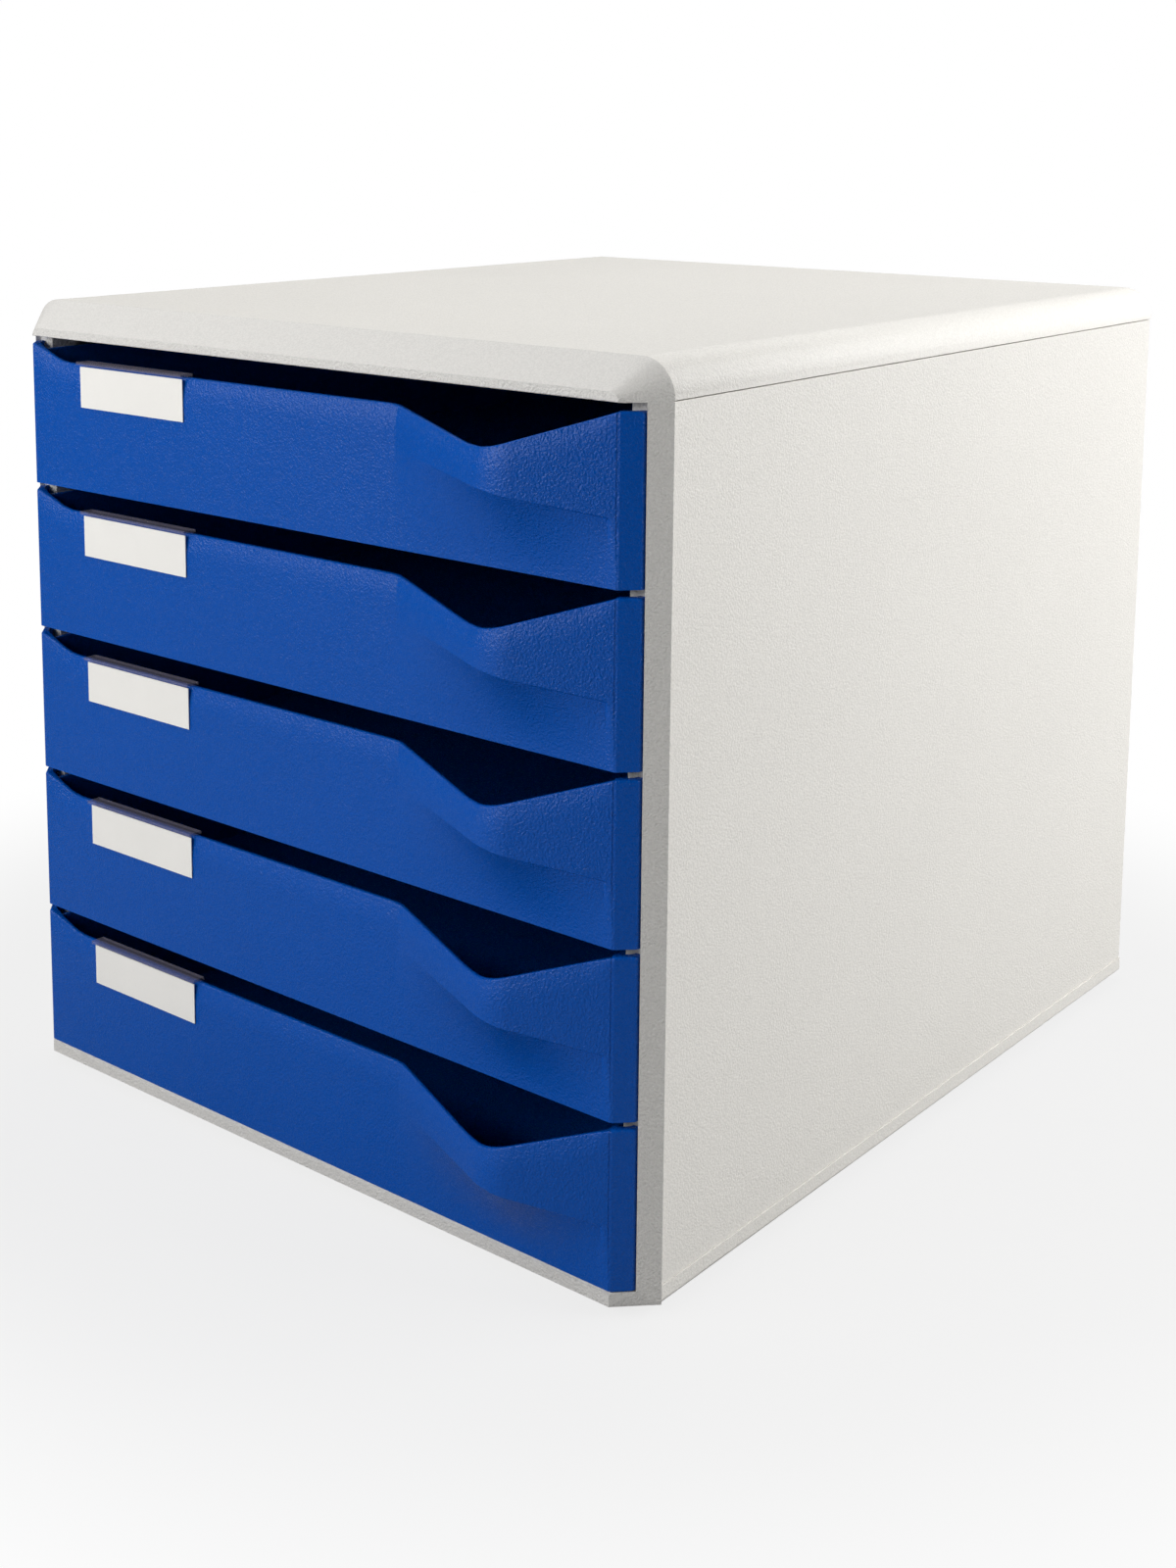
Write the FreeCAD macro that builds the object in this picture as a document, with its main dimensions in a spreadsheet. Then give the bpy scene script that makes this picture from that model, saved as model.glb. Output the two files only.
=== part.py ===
"""Desktop drawer unit: a closed casing with five sliding trays, built in millimetres.

+X is to the right of someone who faces the fronts, +Y runs from the fronts to the rear and +Z is
up. The origin is in the middle of the rectangle that the unit covers, on the surface it stands on.
"""

import FreeCAD, Part
import math
import os
import re

import Sketcher

Vector = FreeCAD.Vector
doc = FreeCAD.newDocument("drawer_unit")

# Driving dimensions

SIZES = {
    # Cuts run this much past what they open
    "cut_past": 1,
    # Casing as a whole
    "casing_width": 291,
    "casing_depth": 337,
    "foot_height": 3.4,
    "wall": 2.5,
    "fit": 0.2,
    # Front frame, a bevelled ring around the fronts
    "bevel_inset": 11.4,
    "bevel_depth": 11.4,
    "bevel_rise": 9.5,
    "lip_height": 3,
    "lip_gap": 0.1,
    "lip_corner": 3,
    "lip_edge": 0.5,
    "sill_edge": 1,
    "jamb": 5.55,
    "throat_start": 8,
    "throat_end": 19,
    "throat_inset": 6.95,
    # Top cover, side panels and base
    "cover_radius": 12,
    "cover_skirt": 0.1,
    "seam_gap": 0.4,
    "panel_recess": 0.5,
    "base_plate": 2.2,
    "base_side": 6,
    "base_edge": 1.6,
    "tongue_reach": 8,
    "tongue_rise": 1.2,
    "tongue_wall": 1.6,
    # Rear panel
    "rear_wall": 2,
    "rear_recess": 1,
    # Feet
    "foot_radius": 8,
    "foot_sunk": 1,
    "foot_inset": 25,
    # Drawer fronts
    "drawer_count": 5,
    "pitch": 54,
    "sill": 5,
    "sill_gap": 0.4,
    "front_height": 51.6,
    "front_low": 45.65,
    "front_wall": 2.4,
    "front_gap": 0.5,
    "rise_width": 15.1,
    "rise_radius": 27,
    # Grip and dip, placed from the right end of the flat front
    "grip_start": 86.7,
    "grip_peak": 36.3,
    "grip_reach": 15.3,
    "grip_radius": 18,
    "crease_start": 32,
    "crease_peak": 26.5,
    "crease_end": 19.9,
    "dip_start": 88.5,
    "dip_start_radius": 40,
    "dip_middle": 40.6,
    "dip_level": 37.7,
    "dip_radius": 38,
    # Tray behind each front
    "tray_gap": 1.2,
    "tray_wall": 1.8,
    "tray_bottom": 1.5,
    "tray_height": 49.5,
    "tray_rear_gap": 2,
    "ledge_overlap": 5,
    "ledge_wall": 2.5,
    "slide_gap": 0.3,
    "stop_place": 275,
    "stop_length": 4,
    "stop_reach": 4.2,
    "stop_low": 20,
    "stop_high": 40,
    # Label holder and its card
    "label_inset": 26.9,
    "label_width": 56.4,
    "label_bottom": 29.8,
    "holder_wall": 1,
    "holder_gap": 0.2,
    "hook_leg": 8,
    "card_wall": 0.3,
    "card_margin": 0.8,
}

sheet = doc.addObject("Spreadsheet::Sheet", "sizes")
for row, (alias, size) in enumerate(SIZES.items(), start=1):
    sheet.set(f"A{row}", alias)
    sheet.set(f"B{row}", str(size))
    sheet.setAlias(f"B{row}", alias)
doc.recompute()


def bound(text):
    """The expression with each size name turned into a reference to the sheet."""
    return re.sub(r"[a-z][a-z_]*", lambda word: f"sizes.{word[0]}", text)


def value(text):
    """The number that an expression of size names comes to."""
    return float(sheet.evalExpression(bound(text)))


DRAWERS = int(value("drawer_count"))

# Share of the crease's height from which the chin under the grip leans back
CHIN_SHARE = 0.45

# Least volume that a hollow takes away, and distance within which two places are the same
LEAST_CUT = 1
SAME_PLACE = 0.01

# Levels and places that several pieces share

FRONT_Y = "((grip_reach - casing_depth) / 2)"
JOINT_Y = f"({FRONT_Y} + bevel_depth)"
RIB_Y = f"({FRONT_Y} + throat_end + fit)"
REAR_Y = f"({FRONT_Y} + casing_depth)"
REAR_PANEL_Y = f"({REAR_Y} - rear_recess - rear_wall)"
RIB_END_Y = f"({REAR_PANEL_Y} - fit)"
SILL_Z = "(foot_height + sill)"
PLATE_Z = "(foot_height + base_plate)"
SHOULDER_Z = "(foot_height + base_side)"
LIP_Z = f"({SILL_Z} + drawer_count * pitch + lip_gap)"
BEVEL_Z = f"({LIP_Z} + lip_height)"
TOP_Z = f"({BEVEL_Z} + bevel_rise)"
SEAM_Z = f"({TOP_Z} - cover_radius)"
OUTER_X = "(casing_width / 2)"
FRONT_X = f"({OUTER_X} - bevel_inset)"
OPENING_X = f"({OUTER_X} - jamb)"
THROAT_X = f"({OPENING_X} - throat_inset)"
PANEL_X = f"({OUTER_X} - panel_recess)"
LINING_X = f"({PANEL_X} - wall)"
TONGUE_X = f"({OUTER_X} - wall - fit)"
TRAY_X = f"({THROAT_X} - tray_gap)"
GRIP_X = f"({FRONT_X} - grip_start)"
PEAK_X = f"({FRONT_X} - grip_peak)"

# Shared ways of drawing


def body(label):
    """A new body with its own label."""
    made = doc.addObject("PartDesign::Body", label)
    made.Label = label
    return made


def drawing(owner, plane, name, place="0"):
    """A sketch on one of the body's own planes, moved along the plane's normal by place."""
    sketch = owner.newObject("Sketcher::SketchObject", name)
    support = [item for item in owner.Origin.OriginFeatures if item.Role == plane]
    sketch.AttachmentSupport = (support[0], [""])
    sketch.MapMode = "FlatFace"
    sketch.setExpression("AttachmentOffset.Base.z", bound(place))
    return sketch


def pin(sketch, curve, across, up, at_centre=False):
    """Ties the start of a line or arc, or a circle's centre, to a place given by two expressions."""
    # A sketch numbers a curve's start as point 1 and its centre as point 3.
    point = 3 if at_centre else 1
    for kind, text in (("DistanceX", across), ("DistanceY", up)):
        number = sketch.addConstraint(Sketcher.Constraint(kind, -1, 1, curve, point, value(text)))
        sketch.setExpression(f"Constraints[{number}]", bound(text))


def size_curve(sketch, curve, radius):
    """Ties the radius of an arc or a circle to an expression."""
    number = sketch.addConstraint(Sketcher.Constraint("Radius", curve, value(radius)))
    sketch.setExpression(f"Constraints[{number}]", bound(radius))


def outline(sketch, corners):
    """Adds a closed outline of straight lines through corners, each a pair of expressions."""
    places = [Vector(value(across), value(up), 0) for across, up in corners]
    first = sketch.GeometryCount
    for start, end in zip(places, places[1:] + places[:1]):
        sketch.addGeometry(Part.LineSegment(start, end))
    for step, (across, up) in enumerate(corners):
        after = first + (step + 1) % len(corners)
        sketch.addConstraint(Sketcher.Constraint("Coincident", first + step, 2, after, 1))
        pin(sketch, first + step, across, up)


def rectangle(sketch, left, bottom, right, top):
    """Adds an upright rectangle between two corners."""
    outline(sketch, [(left, bottom), (right, bottom), (right, top), (left, top)])


def arch(sketch, half_width, bottom, top, radius):
    """Adds a closed outline with square lower corners and both upper corners round."""
    corners = [
        (f"-{half_width}", bottom),
        (half_width, bottom),
        (half_width, f"({top} - {radius})"),
        (f"({half_width} - {radius})", top),
        (f"({radius} - {half_width})", top),
        (f"-{half_width}", f"({top} - {radius})"),
    ]
    places = [Vector(value(across), value(up), 0) for across, up in corners]
    size = value(radius)
    slant = size * math.sqrt(0.5)
    first = sketch.GeometryCount
    for step, start in enumerate(places):
        end = places[(step + 1) % len(places)]
        if step in (2, 4):
            side = 1 if step == 2 else -1
            centre_x = side * (value(half_width) - size)
            centre_z = value(top) - size
            middle = Vector(centre_x + side * slant, centre_z + slant, 0)
            sketch.addGeometry(Part.Arc(start, middle, end))
        else:
            sketch.addGeometry(Part.LineSegment(start, end))
    # An arc's own start and end follow its anticlockwise turn, which is also the outline's.
    for step, (across, up) in enumerate(corners):
        after = first + (step + 1) % len(corners)
        sketch.addConstraint(Sketcher.Constraint("Coincident", first + step, 2, after, 1))
        pin(sketch, first + step, across, up)
    for step in (2, 4):
        size_curve(sketch, first + step, radius)


def pad(owner, sketch, length, name, forward=True):
    """A solid from the sketch, towards +Y, +Z or +X unless forward is false."""
    made = owner.newObject("PartDesign::Pad", name)
    made.Profile = sketch
    made.setExpression("Length", bound(length))
    upright = sketch.AttachmentSupport[0][0].Role == "XZ_Plane"
    made.Reversed = upright == forward
    doc.recompute()
    return made


def pocket(owner, sketch, length, name, forward=True):
    """A hollow from the sketch, towards +Y, +Z or +X unless forward is false."""
    before = owner.Shape.Volume
    made = owner.newObject("PartDesign::Pocket", name)
    made.Profile = sketch
    made.setExpression("Length", bound(length))
    upright = sketch.AttachmentSupport[0][0].Role == "XZ_Plane"
    made.Reversed = upright != forward
    doc.recompute()
    if owner.Shape.Volume > before - LEAST_CUT:
        raise ValueError(f"{name} cuts nothing")
    return made


def edges_where(shape, test):
    """Names of the straight edges whose two ends both pass the test."""
    found = []
    for number, edge in enumerate(shape.Edges, start=1):
        ends = [vertex.Point for vertex in edge.Vertexes]
        if len(ends) == 2 and all(test(end) for end in ends):
            found.append(f"Edge{number}")
    return found


def near(number, text):
    """True where a coordinate equals the expression's value."""
    return abs(number - value(text)) < SAME_PLACE


def round_edges(owner, test, radius, name):
    """Rounds the edges of the body's newest feature whose ends pass the test."""
    base = owner.Tip
    made = owner.newObject("PartDesign::Fillet", name)
    made.Base = (base, edges_where(base.Shape, test))
    made.setExpression("Radius", bound(radius))
    doc.recompute()
    return made


# Front frame: a bevelled ring, whose throat guides the trays and stops them


def front_frame():
    made = body("front_frame")
    face = drawing(made, "XZ_Plane", "frame_face", f"-{FRONT_Y}")
    arch(face, FRONT_X, "foot_height", BEVEL_Z, "lip_corner")
    back = drawing(made, "XZ_Plane", "frame_back", f"-{JOINT_Y}")
    arch(back, OUTER_X, "foot_height", TOP_Z, "cover_radius")
    ring = made.newObject("PartDesign::AdditiveLoft", "frame_ring")
    ring.Profile = face
    ring.Sections = [back]
    ring.Ruled = True
    doc.recompute()
    collar = drawing(made, "XZ_Plane", "frame_collar", f"-{JOINT_Y}")
    inner_top = f"({TOP_Z} - wall - fit)"
    arch(collar, f"({LINING_X} - fit)", f"({PLATE_Z} + fit)", inner_top, "(cover_radius - wall)")
    pad(made, collar, "(throat_end - bevel_depth)", "frame_collar_pad")
    opening = drawing(made, "XZ_Plane", "frame_opening", f"-{FRONT_Y}")
    rectangle(opening, f"-{OPENING_X}", f"({SILL_Z} - sill_gap)", OPENING_X, LIP_Z)
    pocket(made, opening, "throat_start", "frame_opening_cut")
    throat = drawing(made, "XZ_Plane", "frame_throat", f"-{FRONT_Y}")
    rectangle(throat, f"-{THROAT_X}", f"({SILL_Z} - sill_gap)", THROAT_X, LIP_Z)
    pocket(made, throat, "(throat_end + cut_past)", "frame_throat_cut")
    # The posts are hollow from behind, as a moulding of even wall is.
    posts = drawing(made, "XZ_Plane", "frame_posts", f"-({FRONT_Y} + throat_end)")
    for side in ("", "-"):
        corners = [f"{side}({THROAT_X} + wall)", f"{side}({LINING_X} - wall)"]
        left, right = corners if side == "" else reversed(corners)
        rectangle(posts, left, f"({SILL_Z} + wall)", right, f"({LIP_Z} - wall)")
    pocket(made, posts, "(throat_end - throat_start - wall)", "frame_post_hollow", forward=False)

    def sill(end):
        return near(end.y, FRONT_Y) and near(end.z, f"{SILL_Z} - sill_gap")

    def lip(end):
        return near(end.y, FRONT_Y) and near(end.z, LIP_Z)

    round_edges(made, sill, "sill_edge", "frame_sill_edge")
    round_edges(made, lip, "lip_edge", "frame_lip_edge")
    return made


# Top cover: a plate that turns down into a quarter round along each side


def top_cover():
    made = body("top_cover")
    profile = drawing(made, "XZ_Plane", "cover_outside", f"-{JOINT_Y}")
    arch(profile, OUTER_X, SEAM_Z, TOP_Z, "(cover_radius - cover_skirt)")
    pad(made, profile, f"({REAR_Y} - {JOINT_Y})", "cover_block")
    inside = drawing(made, "XZ_Plane", "cover_inside", f"-{JOINT_Y}")
    low = f"({SEAM_Z} - cut_past)"
    arch(inside, f"({OUTER_X} - wall)", low, f"({TOP_Z} - wall)", "(cover_radius - wall)")
    pocket(made, inside, "casing_depth", "cover_hollow")
    return made


# Base: a floor plate with a low shoulder along each side, for the panels to stand on


def base():
    made = body("base")
    profile = drawing(made, "XZ_Plane", "base_profile", f"-{JOINT_Y}")
    inside = f"({OUTER_X} - wall)"
    outline(
        profile,
        [
            (f"-{OUTER_X}", "foot_height"),
            (OUTER_X, "foot_height"),
            (OUTER_X, SHOULDER_Z),
            (inside, SHOULDER_Z),
            (inside, PLATE_Z),
            (f"-{inside}", PLATE_Z),
            (f"-{inside}", SHOULDER_Z),
            (f"-{OUTER_X}", SHOULDER_Z),
        ],
    )
    pad(made, profile, f"({REAR_Y} - {JOINT_Y})", "base_channel")

    def lower_side(end):
        return near(abs(end.x), OUTER_X) and near(end.z, "foot_height")

    round_edges(made, lower_side, "base_edge", "base_lower_edge")
    seats = drawing(made, "XY_Plane", "foot_seats", "foot_height")
    for across, along in foot_places():
        circle = seats.addGeometry(
            Part.Circle(Vector(value(across), value(along), 0), Vector(0, 0, 1), value("foot_radius"))
        )
        size_curve(seats, circle, "(foot_radius + fit)")
        pin(seats, circle, across, along, at_centre=True)
    pocket(made, seats, "foot_sunk", "foot_seat_cut")
    return made


def foot_places():
    """Centres of the four feet, as pairs of expressions."""
    across = f"({OUTER_X} - foot_inset)"
    along = (f"({FRONT_Y} + foot_inset)", f"({REAR_Y} - foot_inset)")
    return [(f"{side}{across}", place) for place in along for side in ("-", "")]


def foot(number, across, along):
    made = doc.addObject("Part::Cylinder", f"foot_{number}")
    made.setExpression("Radius", bound("foot_radius"))
    made.setExpression("Height", bound("foot_height + foot_sunk"))
    made.setExpression("Placement.Base.x", bound(across))
    made.setExpression("Placement.Base.y", bound(along))
    return made


# Side panels: flat plates with tongues inside the cover and the base, and a ledge under each tray


def side_panel(label, side):
    made = body(label)

    def strip(sketch, inner, bottom, outer, top):
        """Adds a rectangle between two distances from the middle, on the panel's own side."""
        left, right = (inner, outer) if side == "" else (f"-{outer}", f"-{inner}")
        rectangle(sketch, left, bottom, right, top)

    plate = drawing(made, "XZ_Plane", f"{label}_plate", f"-{JOINT_Y}")
    strip(plate, LINING_X, SHOULDER_Z, PANEL_X, f"({SEAM_Z} - seam_gap)")
    pad(made, plate, f"({REAR_Y} - {JOINT_Y})", f"{label}_plate_pad")
    inner = f"({TONGUE_X} - tongue_wall)"
    ribs = drawing(made, "XZ_Plane", f"{label}_ribs", f"-{RIB_Y}")
    strip(ribs, inner, f"({SEAM_Z} - tongue_reach)", TONGUE_X, f"({SEAM_Z} + tongue_rise)")
    strip(ribs, inner, f"({PLATE_Z} + fit)", TONGUE_X, f"({SHOULDER_Z} + tongue_reach)")
    pad(made, ribs, f"({RIB_END_Y} - {RIB_Y})", f"{label}_tongues")
    ledges = drawing(made, "XZ_Plane", f"{label}_ledges", f"-{RIB_Y}")
    for step in range(DRAWERS):
        high = f"({SILL_Z} + {step} * pitch + tray_bottom - slide_gap)"
        strip(ledges, f"({TRAY_X} - ledge_overlap)", f"({high} - ledge_wall)", LINING_X, high)
    pad(made, ledges, f"({RIB_END_Y} - {RIB_Y})", f"{label}_ledge_pad")
    return made


# Rear panel: a flat plate inside the rear ends of the cover, the panels and the base


def rear_panel():
    made = body("rear_panel")
    plate = drawing(made, "XZ_Plane", "rear_plate", f"-{REAR_PANEL_Y}")
    top = f"({TOP_Z} - wall - fit)"
    arch(plate, f"({LINING_X} - fit)", f"({PLATE_Z} + fit)", top, "(cover_radius - wall)")
    pad(made, plate, "rear_wall", "rear_plate_pad")
    return made


# Drawer front: one wall of even thickness that bulges forward at the grip
# Heights and depths here are measured from the front's lower edge.


def tangent_point(start, centre, radius, turn):
    """Where the line from start touches the circle, on the side that turn gives."""
    reach = start.distanceToPoint(centre)
    lean = math.acos(radius / reach)
    away = math.atan2(start.y - centre.y, start.x - centre.x)
    angle = away + turn * lean
    return centre + Vector(math.cos(angle), math.sin(angle), 0) * radius


def grip_stations(steps=6):
    """Points of the wall's outer face in plan, from where the grip starts to where it ends."""
    start = Vector(value(GRIP_X), 0, 0)
    end = Vector(value(FRONT_X), 0, 0)
    radius = value("grip_radius")
    centre = Vector(value(PEAK_X), radius - value("grip_reach"), 0)
    first = tangent_point(start, centre, radius, 1)
    last = tangent_point(end, centre, radius, -1)
    low = math.atan2(first.y - centre.y, first.x - centre.x)
    high = math.atan2(last.y - centre.y, last.x - centre.x)
    points = [start]
    for step in range(steps + 1):
        angle = low + (high - low) * step / steps
        points.append(centre + Vector(math.cos(angle), math.sin(angle), 0) * radius)
    return points + [end]


def crease_level(across):
    """Height of the crease below which the grip's wall runs back to the lower edge."""
    start, peak, end = value(GRIP_X), value(PEAK_X), value(FRONT_X)
    levels = value("crease_start"), value("crease_peak"), value("crease_end")
    if across < peak:
        share = (across - start) / (peak - start)
        return levels[0] + share * (levels[1] - levels[0])
    share = (across - peak) / (end - peak)
    return levels[1] + share * (levels[2] - levels[1])


def grip_section(across, depth):
    """The wall's outline across the grip, with its outer face at depth above the crease."""
    wall = value("front_wall")
    top = value("front_height")
    level = crease_level(across)

    def side(offset):
        low = Vector(across, offset, 0)
        middle = Vector(across, offset, level * CHIN_SHARE)
        crease = Vector(across, depth + offset, level)
        chin = Part.BezierCurve()
        chin.setPoles([low, middle, crease])
        return low, chin, crease, Vector(across, depth + offset, top)

    outer_low, outer_chin, outer_crease, outer_top = side(0)
    inner_low, inner_chin, inner_crease, inner_top = side(wall)
    inner_edge = inner_chin.toShape()
    inner_edge.reverse()
    return Part.Wire(
        [
            outer_chin.toShape(),
            Part.makeLine(outer_crease, outer_top),
            Part.makeLine(outer_top, inner_top),
            Part.makeLine(inner_top, inner_crease),
            inner_edge,
            Part.makeLine(inner_low, outer_low),
        ]
    )


def rounded_line(corners):
    """Edges through corners, each a place and the radius of its round, from first to last."""
    edges = []
    here = corners[0][0]
    for (before, _), (corner, radius), (after, _) in zip(corners, corners[1:], corners[2:]):
        inward = (before - corner).normalize()
        outward = (after - corner).normalize()
        half = inward.getAngle(outward) / 2
        start = corner + inward * (radius / math.tan(half))
        end = corner + outward * (radius / math.tan(half))
        bisector = (inward + outward).normalize()
        middle = corner + bisector * (radius / math.sin(half) - radius)
        edges.append(Part.makeLine(here, start))
        edges.append(Part.Arc(start, middle, end).toShape())
        here = end
    edges.append(Part.makeLine(here, corners[-1][0]))
    return edges


def front_elevation():
    """The front seen from ahead, with its curved upper edge, as a solid to trim the wall with."""
    depth = 2 * value("grip_reach")
    side = value(OPENING_X)
    flat = value(FRONT_X)
    high = value("front_height")
    low = value("front_low")

    def place(across, up):
        return Vector(across, -depth, up)

    corners = [
        (place(-flat, high), 0),
        (place(value("rise_width") - flat, low), value("rise_radius")),
        (place(flat - value("dip_start"), low), value("dip_start_radius")),
        (place(flat - value("dip_middle"), value("dip_level")), value("dip_radius")),
        (place(flat, high), 0),
    ]
    around = [place(flat, high), place(side, high), place(side, 0), place(-side, 0)]
    around += [place(-side, high), place(-flat, high)]
    edges = rounded_line(corners)
    edges += [Part.makeLine(start, end) for start, end in zip(around, around[1:])]
    return Part.Face(Part.Wire(edges)).extrude(Vector(0, 2 * depth, 0))


def front_ends():
    """The flat wall left of the grip and both slanted ends, in plan, drawn up to full height."""
    wall = value("front_wall")
    flat = value(FRONT_X)
    side = value(f"{OPENING_X} - front_gap")
    back = value("throat_start - front_gap")
    slant = side - flat
    turn = wall * math.tan(math.radians(22.5))
    grip = value(GRIP_X)
    end = [
        (flat, 0),
        (side, slant),
        (side, back),
        (side - wall, back),
        (side - wall, slant + turn),
        (flat - turn, wall),
    ]
    left = [(-across, along) for across, along in reversed(end)]
    outlines = [left + [(grip, 0), (grip, wall)], end[:-1] + [(flat, wall + turn)]]
    solids = []
    for corners in outlines:
        points = [Vector(across, along, 0) for across, along in corners]
        face = Part.Face(Part.makePolygon(points + points[:1]))
        solids.append(face.extrude(Vector(0, 0, value("front_height"))))
    return solids


def front_shell():
    made = doc.addObject("Part::Feature", "front_shell")
    sections = [grip_section(point.x, point.y) for point in grip_stations()]
    grip = Part.makeLoft(sections, True, True)
    wall = grip.fuse(front_ends()).common(front_elevation())
    made.Shape = wall.removeSplitter()
    return made


# Tray: an open trough behind the front, with a stop on each side that meets the frame's throat


def tray():
    made = body("tray")
    start = "(front_wall / 4)"
    end = "(casing_depth - rear_recess - rear_wall - tray_rear_gap)"
    inner = f"({TRAY_X} - tray_wall)"
    trough = drawing(made, "XZ_Plane", "tray_trough", f"-{start}")
    outline(
        trough,
        [
            (f"-{TRAY_X}", "tray_bottom"),
            (TRAY_X, "tray_bottom"),
            (TRAY_X, "tray_height"),
            (inner, "tray_height"),
            (inner, "(tray_bottom + tray_wall)"),
            (f"-{inner}", "(tray_bottom + tray_wall)"),
            (f"-{inner}", "tray_height"),
            (f"-{TRAY_X}", "tray_height"),
        ],
    )
    pad(made, trough, f"({end} - {start})", "tray_trough_pad")
    rear = drawing(made, "XZ_Plane", "tray_rear", f"-({end} - tray_wall)")
    rectangle(rear, f"-{TRAY_X}", "tray_bottom", TRAY_X, "tray_height")
    pad(made, rear, "tray_wall", "tray_rear_pad")
    stops = drawing(made, "XZ_Plane", "tray_stops", "-stop_place")
    for left in (f"(-{TRAY_X} - stop_reach)", inner):
        rectangle(stops, left, "stop_low", f"({left} + stop_reach + tray_wall)", "stop_high")
    pad(made, stops, "stop_length", "tray_stop_pad")
    return made


def place_on_drawer(made, step):
    """Moves a piece that is drawn from its front's lower edge to one of the drawers."""
    made.setExpression("Placement.Base.y", bound(FRONT_Y))
    made.setExpression("Placement.Base.z", bound(f"{SILL_Z} + {step} * pitch"))


def drawer(number, pieces):
    made = doc.addObject("Part::MultiFuse", f"drawer_{number}")
    made.Shapes = pieces
    made.Refine = True
    place_on_drawer(made, DRAWERS - number)
    return made


# Label holder: a clear strip that hooks over the front's upper edge and keeps a paper card


HOLDER_X = f"(label_inset - {FRONT_X})"
HOLDER_TOP = "(front_low + holder_gap + holder_wall)"
CARD_Y = "(0 - holder_gap - card_wall)"
HOLDER_Y = f"({CARD_Y} - holder_gap - holder_wall)"


def block(name, left, front, bottom, width, depth, height):
    """A box at a place, with its sizes bound to the sheet."""
    made = doc.addObject("Part::Box", name)
    for size, text in (("Length", width), ("Width", depth), ("Height", height)):
        made.setExpression(size, bound(text))
    for axis, text in (("x", left), ("y", front), ("z", bottom)):
        made.setExpression(f"Placement.Base.{axis}", bound(text))
    return made


def holder_pieces():
    """The four plates of a label holder: face, foot, top and the leg behind the front's wall."""
    tall = f"({HOLDER_TOP} - label_bottom)"
    deep = f"(front_wall + holder_gap + holder_wall - {HOLDER_Y})"
    leg_y = "(front_wall + holder_gap)"
    leg_z = f"({HOLDER_TOP} - hook_leg)"
    foot_depth = f"(0 - holder_gap / 2 - {HOLDER_Y})"
    top_z = f"({HOLDER_TOP} - holder_wall)"
    low, wide, thick = "label_bottom", "label_width", "holder_wall"
    return [
        block("holder_face", HOLDER_X, HOLDER_Y, low, wide, thick, tall),
        block("holder_foot", HOLDER_X, HOLDER_Y, low, wide, foot_depth, "holder_wall / 2"),
        block("holder_top", HOLDER_X, HOLDER_Y, top_z, wide, deep, thick),
        block("holder_leg", HOLDER_X, leg_y, leg_z, wide, thick, "hook_leg"),
    ]


def label_holder(number, pieces):
    made = doc.addObject("Part::MultiFuse", f"label_holder_{number}")
    made.Shapes = pieces
    made.Refine = True
    place_on_drawer(made, DRAWERS - number)
    return made


def label_card(number):
    left = f"({HOLDER_X} + card_margin)"
    low = "(label_bottom + holder_wall / 2 + fit / 2)"
    high = f"({HOLDER_TOP} - holder_wall - card_margin)"
    return block(
        f"label_card_{number}",
        left,
        f"({FRONT_Y} + {CARD_Y})",
        f"({SILL_Z} + {DRAWERS - number} * pitch + {low})",
        "label_width - 2 * card_margin",
        "card_wall",
        f"{high} - {low}",
    )


# Assembly

parts = [front_frame(), top_cover(), base()]
parts += [side_panel("side_panel_left", "-"), side_panel("side_panel_right", ""), rear_panel()]
parts += [foot(number, *place) for number, place in enumerate(foot_places(), start=1)]
drawer_pieces = [front_shell(), tray()]
plates = holder_pieces()
for number in range(1, DRAWERS + 1):
    parts += [drawer(number, drawer_pieces), label_holder(number, plates), label_card(number)]
doc.recompute()

# Checks before anything is written

for made in doc.Objects:
    if "Invalid" in made.State or "Error" in made.State:
        raise ValueError(f"{made.Label} failed")
for made in parts:
    if made.Shape.isNull() or not made.Shape.isValid() or not made.Shape.Solids:
        raise ValueError(f"{made.Label} has no valid solid")

os.makedirs("parts", exist_ok=True)
for made in parts:
    made.Shape.exportStep(f"parts/{made.Label}.step")
    box = made.Shape.BoundBox
    spans = ((box.XMin, box.XMax), (box.YMin, box.YMax), (box.ZMin, box.ZMax))
    places = [f"{low:.1f} to {high:.1f}" for low, high in spans]
    print(f"{made.Label}: {len(made.Shape.Solids)} solid, {made.Shape.Volume:.0f} mm3,", *places)
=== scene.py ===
"""Looks of the desktop drawer unit: grained blue drawers in a pale casing, on a pale floor."""

import math

import bmesh
import bpy
from mathutils import Matrix, Vector


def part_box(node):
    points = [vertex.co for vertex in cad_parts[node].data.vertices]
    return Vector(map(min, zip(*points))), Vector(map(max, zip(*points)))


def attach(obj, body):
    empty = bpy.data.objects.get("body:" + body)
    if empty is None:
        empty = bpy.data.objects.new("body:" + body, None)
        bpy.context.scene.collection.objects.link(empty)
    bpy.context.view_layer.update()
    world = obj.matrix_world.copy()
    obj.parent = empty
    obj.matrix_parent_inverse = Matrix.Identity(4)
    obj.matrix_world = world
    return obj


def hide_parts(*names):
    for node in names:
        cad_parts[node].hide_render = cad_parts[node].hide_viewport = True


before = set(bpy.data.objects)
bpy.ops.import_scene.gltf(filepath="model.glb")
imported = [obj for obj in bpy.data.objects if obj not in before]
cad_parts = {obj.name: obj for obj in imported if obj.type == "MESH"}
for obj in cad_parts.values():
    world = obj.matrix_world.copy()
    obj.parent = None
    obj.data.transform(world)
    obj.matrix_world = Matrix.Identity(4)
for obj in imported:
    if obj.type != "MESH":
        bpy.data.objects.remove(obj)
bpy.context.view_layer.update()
DRAWERS = sorted(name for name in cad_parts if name.startswith("drawer_"))

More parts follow.
